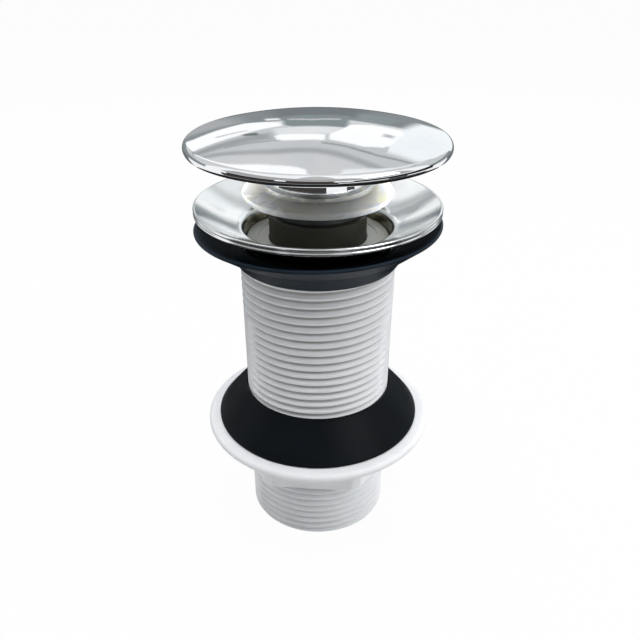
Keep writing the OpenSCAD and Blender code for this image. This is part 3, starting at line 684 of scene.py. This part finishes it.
# tube with a right-hand thread outside: r = crest - depth * (1 - shape(phase)), where
# phase = (z - pitch a / 2 pi) / pitch; the thread dies away at both ends and along the parting lines at the
# left and right, where the side stays smooth; then the top face, the neck of the bore, and the bore
def makeTail():
    a = np.arange(tail["steps"])[:, None] * 2 * math.pi / tail["steps"]
    z = np.linspace(tailFoot + tail["chamfer"], tailTop - 0.05 * mm, tail["rows"])[None, :]
    phase = (z - tail["lineZ"] - tail["pitch"] * (a + math.pi / 2) / (2 * math.pi)) / tail["pitch"]
    fade = np.clip((z - tailFoot - tail["start"]) / tail["fadeLow"], 0, 1)
    fade = fade * np.clip((tailTop - z) / tail["fadeHigh"], 0, 1)
    fromLine = np.degrees(np.abs((a + math.pi / 2) % math.pi - math.pi / 2))
    strip = np.clip((tail["strip"] + tail["stripFade"] - fromLine) / tail["stripFade"], 0, 1)
    strip = strip * np.clip((tailTop - tail["stripDrop"] - z) / tail["stripEnd"], 0, 1)
    groove = tail["depth"] * (1 - threadShape(phase)) * fade * (1 - strip)
    outer = threadR - groove - tail["stripBack"] * strip
    outerZ = np.broadcast_to(z, outer.shape)
    low = np.array([[tail["bore"] + 0.3 * mm, tailFoot], [threadR - tail["chamfer"], tailFoot]])
    step = tail["bore"] - tail["lip"]
    high = np.array([[threadR - 0.3 * mm, tailTop], [tail["lip"] + 0.2 * mm, tailTop],
                     [tail["lip"], tailTop - 0.2 * mm], [tail["lip"], tail["neckZ"]],
                     [tail["bore"], tail["neckZ"] - step], [tail["bore"], (tail["neckZ"] + tailFoot) / 2],
                     [tail["bore"], tailFoot + 0.3 * mm]])
    section = np.concatenate([
        np.broadcast_to(low, (tail["steps"],) + low.shape), np.stack([outer, outerZ], -1),
        np.broadcast_to(high, (tail["steps"],) + high.shape)], 1)
    tube = spunRing(section)
    boss = spunRing(withoutDoubles(softCorners([
        (bridge["bore"], bridge["bossFoot"], 0.2 * mm), (bridge["bossR"], bridge["bossFoot"], 0.5 * mm),
        (bridge["bossR"], bridge["bossTop"], 0.1 * mm), (bridge["bore"], bridge["bossTop"], 0.1 * mm)])), 64)
    spokes = [makeSpoke(k) for k in range(bridge["spokes"])]
    points, faces = joined(tube, boss, *spokes)
    makePiece("threadedTail", points, faces, "root", "white_plastic", whiteThread, ["tail"], crease=48)


# one spoke: a rounded rectangle carried along a radius, from inside the boss to inside the wall
def makeSpoke(k):
    wide, high, edge = bridge["spokeWide"], bridge["spokeHigh"], bridge["spokeEdge"]
    middle = bridge["spokeFoot"] + high / 2
    ring = softCorners([(wide / 2, -high / 2, edge), (wide / 2, high / 2, edge),
                        (-wide / 2, high / 2, edge), (-wide / 2, -high / 2, edge)], 4)
    along = np.array([bridge["bossR"] - 1.5 * mm, tail["bore"] + 1.2 * mm])
    u = np.broadcast_to(along[:, None], (2, len(ring)))
    v = np.broadcast_to(ring[None, :, 0], u.shape)
    w = np.broadcast_to(ring[None, :, 1] + middle, u.shape)
    turn = (k + 0.5) * 2 * math.pi / bridge["spokes"]
    cos, sin = math.cos(turn), math.sin(turn)
    points = np.stack([u * cos - v * sin, u * sin + v * cos, w], -1)
    faces = gridFaces(2, len(ring), loopRows=False).tolist()
    faces.append(list(range(len(ring)))[::-1])
    faces.append(list(range(len(ring), 2 * len(ring))))
    return points.reshape(-1, 3), faces


makeTail()
print("stage: tail made")


washerR, washerFoot, washerTop = reach("cone_washer")
washer = {"grip": 21.1 * mm, "topWide": 0.6 * mm, "edge": 0.8 * mm, "belly": 0.25 * mm}


# cone of rubber with a low upright edge and a slightly full side
def makeWasher():
    grip, edgeZ = washer["grip"], washerFoot + washer["edge"]
    topR = grip + washer["topWide"]
    full = ((washerR + topR) / 2 + washer["belly"], (washerFoot + washerTop) / 2 + washer["belly"])
    side = bendPoints((washerR - 0.15 * mm, edgeZ + 0.15 * mm), full,
                      (topR + 0.1 * mm, washerTop - 0.2 * mm), 18)
    section = np.concatenate([
        [[grip, washerFoot]],
        bendPoints((washerR - 0.5 * mm, washerFoot), (washerR, washerFoot),
                   (washerR, washerFoot + 0.4 * mm), 6),
        bendPoints((washerR, edgeZ - 0.2 * mm), (washerR, edgeZ), side[0], 5)[:-1],
        side,
        bendPoints((topR + 0.02 * mm, washerTop - 0.05 * mm), (topR, washerTop),
                   (topR - 0.2 * mm, washerTop), 5),
        [[grip + 0.1 * mm, washerTop], [grip, washerTop - 0.1 * mm]]])
    makePiece("coneWasher", *spunRing(section), "washer", "black_rubber", washerRubber, ["cone_washer"])


nutR, nutFoot, nutTop = reach("back_nut")
nut = {"grip": 21.1 * mm, "flats": 46 * mm, "flange": 2.6 * mm, "turn": -4.5, "corner": 0.8 * mm,
       "steps": 288, "coneHigh": 2 * mm, "coneWide": 2.5 * mm, "edge": 0.6 * mm, "flash": 0.10 * mm,
       "flashZ": 0.3 * mm, "flashHigh": 0.35 * mm}


# flange with a full round edge over a hexagon hub: the hub's radius at angle a is
# half the flats / cos(a from the nearest flat), held below a corner radius; a little flash runs round
# the parting line
def makeNut():
    grip, edge, half = nut["grip"], nut["edge"], nut["flats"] / 2
    a = np.arange(nut["steps"]) * 2 * math.pi / nut["steps"]
    fromFlat = (a - math.radians(nut["turn"] + 30) + math.pi / 6) % (math.pi / 3) - math.pi / 6
    hexR = np.minimum(half / np.cos(fromFlat), half / math.cos(math.pi / 6) - nut["corner"])
    edgeR = nut["flange"] / 2
    flangeZ = nutTop - nut["flange"]
    coneTop, coneFoot = half + nut["coneWide"], flangeZ - nut["coneHigh"]
    random = np.random.default_rng(7)
    wave = sum(random.normal() * np.sin(n * a + random.uniform(0, 6.28)) / n ** 0.5 for n in range(3, 40, 3))
    flash = nut["flash"] * np.clip(wave / np.abs(wave).max(), -0.3, 1)
    top = np.concatenate([[[grip, nutTop - 0.4 * mm], [grip + 0.4 * mm, nutTop]],
                          arcPoints(nutR - edgeR, nutTop - edgeR, edgeR, 90, -90, 22)])
    rows = np.broadcast_to(top, (nut["steps"],) + top.shape).copy()
    press = np.exp(-((top[:, 1] - flangeZ - nut["flashZ"]) / nut["flashHigh"]) ** 2)
    press = press * (top[:, 0] > nutR - edgeR)
    rows[:, :, 0] += flash[:, None] * press[None]
    rows[:, :, 0] = np.minimum(rows[:, :, 0], nutR)
    collarR = np.maximum(coneTop - 0.2 * mm, hexR + 0.05 * mm)
    footR = np.maximum(half - 0.3 * mm, hexR)
    ones = np.ones(nut["steps"])
    hub = [(collarR + 0.6 * mm, flangeZ * ones), (collarR, (flangeZ - 0.25 * mm) * ones),
           (footR + 0.15 * mm, (coneFoot + 0.2 * mm) * ones), (footR, (coneFoot - 0.3 * mm) * ones),
           (hexR, (coneFoot - 0.8 * mm) * ones), (hexR, (nutFoot + edge) * ones),
           (hexR - 0.2 * edge, (nutFoot + 0.2 * edge) * ones), (hexR - edge, nutFoot * ones),
           ((grip + 0.5 * mm) * ones, nutFoot * ones), (grip * ones, (nutFoot + 0.5 * mm) * ones)]
    section = np.concatenate([rows, np.stack([np.stack(pair, -1) for pair in hub], 1)], 1)
    makePiece("backNut", *spunRing(section), "nut", "white_plastic", whiteMoulded, ["back_nut"], crease=35)


makeWasher()
makeNut()
print("stage: washer and nut made")


coilR, coilFoot, coilTop = reach("return_spring")
coil = {"wire": 0.9 * mm, "turns": 7, "steps": 40, "flatTurns": 0.75, "squeezed": 0.40}


# helix of round wire whose end turns lie flat
def makeSpring():
    t = np.linspace(0, 1, coil["turns"] * coil["steps"] + 1)
    flat = coil["flatTurns"] / coil["turns"]
    share = np.clip((t - flat) / (1 - 2 * flat), 0, 1)
    a = 2 * math.pi * coil["turns"] * t
    wire = coil["wire"] / 2
    r = coilR - wire
    z = coilFoot + wire + (coilTop - coilFoot - 2 * wire) * share
    path = np.stack([r * np.cos(a), r * np.sin(a), z], 1)
    piece = makePiece("returnSpring", *tubeAlong(path, wire), "root", "steel", turnedSteel, ["return_spring"])
    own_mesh(piece)


makeSpring()

keptNodes = {
    "cap_plate": darkPlastic, "barrel": greyPlastic, "barrel_cap": greyPlastic, "cam_ring": greyPlastic,
    "rotor": greyPlastic, "bowl_seal": gasketRubber, "bowl_clamp": clampMetal, "stem": turnedBrass,
    "stem_clip": turnedSteel, "barrel_screw": turnedSteel, "barrel_nut": turnedSteel}
for nodeName, finish in keptNodes.items():
    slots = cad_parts[nodeName].data.materials
    slots.clear()
    slots.append(finish)
print("stage: latch dressed")


# 1 (times a share) for rays from the camera, from mirrors and through glass
def seenDirectly(nodes, links, share=1.0):
    path = nodes.new("ShaderNodeLightPath")
    total = path.outputs["Is Camera Ray"]
    for kind in ("Is Glossy Ray", "Is Transmission Ray"):
        most = nodes.new("ShaderNodeMath")
        most.operation = "MAXIMUM"
        links.new(total, most.inputs[0])
        links.new(path.outputs[kind], most.inputs[1])
        total = most.outputs["Value"]
    part = nodes.new("ShaderNodeMath")
    part.operation = "MULTIPLY"
    part.inputs[1].default_value = share
    links.new(total, part.inputs[0])
    return part.outputs["Value"]


studio = {"floorTone": (0.6, 0.6, 0.6, 1), "floorRough": 0.9, "floorGlow": 0.97, "floorHalf": 4.0,
          "skyLight": 0.15}


# plain surface that camera and mirror rays see as near white, while light and shadow still fall on it
def floorFinish():
    material, nodes, links, shader = newFinish(
        "studioFloor", Base_Color=studio["floorTone"], Roughness=studio["floorRough"])
    glow = nodes.new("ShaderNodeEmission")
    mix = nodes.new("ShaderNodeMixShader")
    links.new(seenDirectly(nodes, links, studio["floorGlow"]), mix.inputs["Fac"])
    links.new(shader.outputs["BSDF"], mix.inputs[1])
    links.new(glow.outputs["Emission"], mix.inputs[2])
    links.new(mix.outputs["Shader"], nodes["Material Output"].inputs["Surface"])
    return material


# floor, and a sky that is white to the eye and dim as a light
def makeStudio():
    half = studio["floorHalf"]
    mesh = bpy.data.meshes.new("studioFloor")
    corners = [(-half, -half, 0), (half, -half, 0), (half, half, 0), (-half, half, 0)]
    mesh.from_pydata(corners, [], [(0, 1, 2, 3)])
    mesh.materials.append(floorFinish())
    floor = bpy.data.objects.new("studioFloor", mesh)
    bpy.context.scene.collection.objects.link(floor)
    world = bpy.data.worlds.new("studioSky")
    bpy.context.scene.world = world
    world.use_nodes = True
    nodes, links = world.node_tree.nodes, world.node_tree.links
    light = nodes["Background"]
    light.inputs["Color"].default_value = (1, 1, 1, 1)
    light.inputs["Strength"].default_value = studio["skyLight"]
    white = nodes.new("ShaderNodeBackground")
    white.inputs["Color"].default_value = (1, 1, 1, 1)
    mix = nodes.new("ShaderNodeMixShader")
    links.new(seenDirectly(nodes, links), mix.inputs["Fac"])
    links.new(light.outputs["Background"], mix.inputs[1])
    links.new(white.outputs["Background"], mix.inputs[2])
    links.new(mix.outputs["Shader"], nodes["World Output"].inputs["Surface"])


# soft lamps: place, where they point, width, height, watts and spread; mirrors see the cards and, of the
# lamps, only frontRight
lamps = {
    "overhead": ((-0.02, 0.08, 0.95), (0, 0, 0.07), 0.9, 0.9, 11.0, 180),
    "sideRight": ((0.70, 0.10, 0.17), (0, 0, 0.07), 0.5, 0.3, 2.4, 180),
    "sideLeft": ((-0.70, 0.10, 0.17), (0, 0, 0.07), 0.5, 0.3, 0.5, 180),
    "frontRight": ((0.52, -0.36, 0.62), (0, 0, 0.06), 0.45, 0.45, 1.9, 180),
    "frontLeft": ((-0.52, -0.36, 0.62), (0, 0, 0.06), 0.5, 0.5, 1.0, 180),
    "sealRight": ((0.16, 0.06, 0.105), (0.018, 0.004, 0.104), 0.03, 0.008, 0.0085, 10),
    "sealLeft": ((-0.16, 0.06, 0.105), (-0.018, 0.004, 0.104), 0.03, 0.008, 0.006, 10),
}


def makeLamps():
    for name, (place, target, wide, high, watts, spreadAngle) in lamps.items():
        data = bpy.data.lights.new(name, "AREA")
        data.shape = "RECTANGLE"
        data.size, data.size_y, data.energy = wide, high, watts
        data.spread = math.radians(spreadAngle)
        lamp = bpy.data.objects.new(name, data)
        bpy.context.scene.collection.objects.link(lamp)
        lamp.location = place
        lamp.rotation_euler = aim(np.array(place), np.array(target))
        lamp.visible_glossy = name == "frontRight"  # for the sheen on the rubber


# turn that points an object's -Z from one place to another
def aim(place, target):
    d = target - place
    flat = math.hypot(d[0], d[1])
    return (math.atan2(flat, -d[2]), 0, math.atan2(-d[0], d[1]))


# cards round the set that only mirrors see, in degrees seen from the cap (azimuth 0 is straight behind it):
# first and last azimuth, lower and upper edge as knots (azimuth, height), grey, how far in front it hangs,
# and how soft its edges are
cornice = [(-60, 16), (-20, 28), (-15, 31.5), (-10, 34), (0, 35.5), (5, 37), (10, 39), (20, 42), (60, 45)]
windowFrame = [(0.5, 30.4), (5, 31.7), (9, 33.2), (13, 34), (21, 33)]
cards = {
    "wallLow": ((-80, 80), [(0, -30)], [(0, 14)], (0.25, 0.275, 0.285), 0, 0),
    "wallCore": ((-7, 7), [(0, -30)], [(0, 12)], (0.19, 0.21, 0.225), 1, 3),
    "wallLeft": ((-22, -8), [(0, -8)], [(0, 10)], (0.42, 0.43, 0.44), 1, 4),
    "wallMiddle": ((-80, 80), [(0, 12)], [(0, 60)], (0.60, 0.615, 0.625), 1, 4),
    "leftShade": ((-40, -7), [(0, 21)], [(-40, 24), (-7, 28.5)], (0.38, 0.39, 0.40), 2, 2.5),
    "glowMiddle": ((-8, 6), [(0, 18.5)], [(0, 26)], (0.82, 0.83, 0.84), 2, 1.5),
    "coreHigh": ((-5.6, 5.0), [(0, 8)], [(-5.6, 16.8), (-4, 19.4), (4.4, 20.2), (5, 18)],
                 (0.25, 0.285, 0.295), 3, 1.0),
    "coreRight": ((4.5, 11), [(0, 3)], [(4.5, 14), (11, 14)], (0.27, 0.31, 0.32), 3, 1.5),
    "sideWindow": ((11.5, 40), [(11.5, 2), (40, -2)], [(11.5, 15), (14, 33), (40, 33)],
                   (0.96, 0.99, 1.01), 2, 2),
    "windowMiddle": ((-8, 1.6), [(-8, 25), (-6.5, 24.4), (1.6, 25.6)], [(-8, 28.4), (-5, 29.4), (1.6, 30)],
                     (1.08, 1.08, 1.08), 3, 0.5),
    "windowRight": ((1.8, 14), [(1.8, 26), (4, 21), (5, 16.5), (8, 14.7), (12.5, 14.5), (14, 18)],
                    [(1.8, 29.5), (5, 30.8), (9, 32), (12.5, 30.4), (14, 28)], (1.1, 1.1, 1.1), 3, 0.7),
    "windowLeft": ((-24, -5), [(-24, 10), (-18, 11.5), (-14, 10), (-10, 9.5), (-7, 12), (-5, 15)],
                   [(-24, 22), (-13, 20.6), (-10, 19.2), (-5, 18)], (1.08, 1.08, 1.08), 3, 1.0),
    "spotLeft": ((-12.6, -9.6), [(-12.6, 19.2), (-9.6, 20.2)], [(-12.6, 21.6), (-9.6, 23.6)],
                 (0.16, 0.18, 0.18), 4, 0.8),
    "streakLeft": ((-16, -10.5), [(-16, 15.4), (-10.5, 16.6)], [(-16, 17.2), (-10.5, 18)],
                   (0.5, 0.52, 0.53), 4, 0.8),
    "spotRight": ((10.4, 13.4), [(0, 20)], [(0, 23.6)], (0.5, 0.52, 0.53), 4, 1.2),
    "arch": ((-4.5, 3.5), [(-4.5, 11.2), (-1, 12.8), (3.5, 11.8)], [(-4.5, 12.8), (-1, 14.4), (3.5, 13.4)],
             (0.66, 0.67, 0.68), 4, 0.6),
    "streakLow": ((-7.5, -5), [(-7.5, 8), (-5, 10)], [(-7.5, 11), (-5, 12.4)], (0.95, 0.95, 0.95), 4, 0.7),
    "ceiling": ((-80, 80), cornice, [(0, 80)], (0.66, 0.665, 0.67), 4, 1.5),
    "corniceShade": ((-60, 60), [(a, e - 2.2) for a, e in cornice], [(a, e + 2.2) for a, e in cornice],
                     (0.42, 0.425, 0.435), 5, 2.0),
    "lineRight": ((0.5, 21), windowFrame, [(a, e + 1.5) for a, e in windowFrame],
                  (0.32, 0.325, 0.33), 6, 0.6),
    "lineLeft": ((-17, -7), [(-17, 25.5), (-7, 27.9)], [(-17, 26.6), (-7, 29)], (0.32, 0.33, 0.33), 6, 0.5),
    "windowTop": ((-40, -2.5), [(-40, 22), (-24, 31), (-17.5, 36), (-11, 39.5), (-5, 42.3), (-2.5, 44)],
                  [(0, 60)], (1.1, 1.1, 1.1), 6, 0.7),
    "topRight": ((6, 40), [(6, 43.4), (12, 41), (17, 39), (40, 34)], [(0, 60)], (0.92, 0.93, 0.94), 6, 1.0),
    "shadeLeft": ((213, 258), [(0, -8)], [(0, 9)], (0.012, 0.012, 0.013), 2, 2.5),
    "shadeFront": ((166, 206), [(0, -8)], [(0, 10)], (0.05, 0.04, 0.04), 2, 2.0),
    "shadeRight": ((72, 153), [(0, -8)], [(0, 5)], (0.012, 0.012, 0.013), 2, 2.5),
    "frontGrey": ((95, 265), [(0, 7)], [(0, 44)], (0.40, 0.40, 0.40), 0, 5),
    "frontCeiling": ((160, 202), [(0, 38)], [(0, 88)], (0.52, 0.52, 0.52), 2, 6),
}
# dark sectors of the floor that mirrors see, for the underside of the cap's rim and for the bush: inner and
# outer radius, grey, soft edge, and the angles from X that they run between
aprons = {"apronNear": (50 * mm, 215 * mm, (0.012, 0.012, 0.013), 14 * mm, -180, 180),
          "apronFront": (205 * mm, 1400 * mm, (0.05, 0.046, 0.043), 10 * mm, -172, -74),
          "apronInner": (205 * mm, 285 * mm, (0.012, 0.012, 0.013), 10 * mm, -74, 10),
          "apronOuter": (400 * mm, 1400 * mm, (0.012, 0.012, 0.013), 10 * mm, -74, 15),
          "apronRight": (280 * mm, 405 * mm, (0.05, 0.05, 0.05), 10 * mm, -33, -15),
          "apronBack": (205 * mm, 1500 * mm, (0.16, 0.165, 0.17), 60 * mm, 40, 140)}
cardSet = {"away": 1.4, "nearer": 0.02, "across": 81, "up": 25, "apronRound": 97, "apronWide": 49,
           "apronZ": 1 * mm, "softLeast": 0.01}


def makeCards():
    centre = np.array([0, 0, capTop])
    share = np.linspace(0, 1, cardSet["up"])[None, :]
    for name, ((a0, a1), lower, upper, grey, nearer, soft) in cards.items():
        azimuth = np.linspace(a0, a1, cardSet["across"])
        e0, e1 = (np.interp(azimuth, *np.array(knots, float).T)[:, None] for knots in (lower, upper))
        height = e0 + (e1 - e0) * share
        sideways = np.minimum(azimuth - a0, a1 - azimuth)[:, None]
        margin = np.minimum(sideways, np.minimum(height - e0, e1 - height))
        a, e = np.radians(azimuth)[:, None], np.radians(height)
        away = np.stack([np.sin(a) * np.cos(e), np.cos(a) * np.cos(e), np.sin(e)], -1)
        distance = cardSet["away"] - cardSet["nearer"] * nearer
        makeCard(name, centre + distance * away, margin / max(soft, cardSet["softLeast"]), grey)
    for name, (inner, outer, grey, soft, a0, a1) in aprons.items():
        turn = np.radians(np.linspace(a0, a1, cardSet["apronRound"]))[:, None]
        ring = np.linspace(inner, outer, cardSet["apronWide"])
        flat = np.broadcast_arrays(ring * np.cos(turn), ring * np.sin(turn), cardSet["apronZ"])
        grid = np.stack(flat, -1)
        margin = np.minimum(ring - inner, outer - ring) / soft
        makeCard(name, grid, np.broadcast_to(margin, grid.shape[:2]), grey)


# a glowing sheet on a grid of points, clear at its edges, that the camera and the light pass by
def makeCard(name, grid, fade, grey):
    rows, columns = grid.shape[:2]
    i = np.arange(rows - 1)[:, None] * columns + np.arange(columns - 1)[None, :]
    faces = np.stack([i, i + 1, i + columns + 1, i + columns], -1).reshape(-1, 4)
    mesh = bpy.data.meshes.new(name)
    mesh.from_pydata(grid.reshape(-1, 3).tolist(), [], faces.tolist())
    shown = np.clip(fade, 0, 1)
    eased = (shown * shown * (3 - 2 * shown)).ravel().astype(np.float32)
    mesh.attributes.new("shown", "FLOAT", "POINT").data.foreach_set("value", eased)
    material, nodes, links = newFinish(name)[:3]
    glow = nodes.new("ShaderNodeEmission")
    glow.inputs["Color"].default_value = (*grey, 1)
    share = nodes.new("ShaderNodeAttribute")
    share.attribute_name = "shown"
    mix = nodes.new("ShaderNodeMixShader")
    links.new(share.outputs["Fac"], mix.inputs["Fac"])
    links.new(nodes.new("ShaderNodeBsdfTransparent").outputs["BSDF"], mix.inputs[1])
    links.new(glow.outputs["Emission"], mix.inputs[2])
    links.new(mix.outputs["Shader"], nodes["Material Output"].inputs["Surface"])
    mesh.materials.append(material)
    card = bpy.data.objects.new(name, mesh)
    bpy.context.scene.collection.objects.link(card)
    card.visible_camera = card.visible_diffuse = card.visible_shadow = card.visible_transmission = False


lens = {"focal": 672.0, "image": 640.0, "centreX": 317.9, "centreY": 360.0, "sensor": 36.0, "near": 0.01,
        "down": 32.2, "back": 0.169, "high": 0.157}


# camera at the photo's angle; the frame is 640 x 640, and focal and centre are in its pixels
def makeCamera():
    data = bpy.data.cameras.new("camera")
    data.sensor_width = lens["sensor"]
    data.lens = lens["focal"] / lens["image"] * data.sensor_width
    data.shift_x = (lens["image"] / 2 - lens["centreX"]) / lens["image"]
    data.shift_y = (lens["centreY"] - lens["image"] / 2) / lens["image"]
    data.clip_start = lens["near"]
    camera = bpy.data.objects.new("camera", data)
    bpy.context.scene.collection.objects.link(camera)
    camera.location = (0, -lens["back"], lens["high"])
    camera.rotation_euler = (math.radians(90 - lens["down"]), 0, 0)
    bpy.context.scene.camera = camera


makeStudio()
makeLamps()
makeCards()
makeCamera()
bpy.context.scene.view_settings.view_transform = "Standard"
print("stage: studio set")
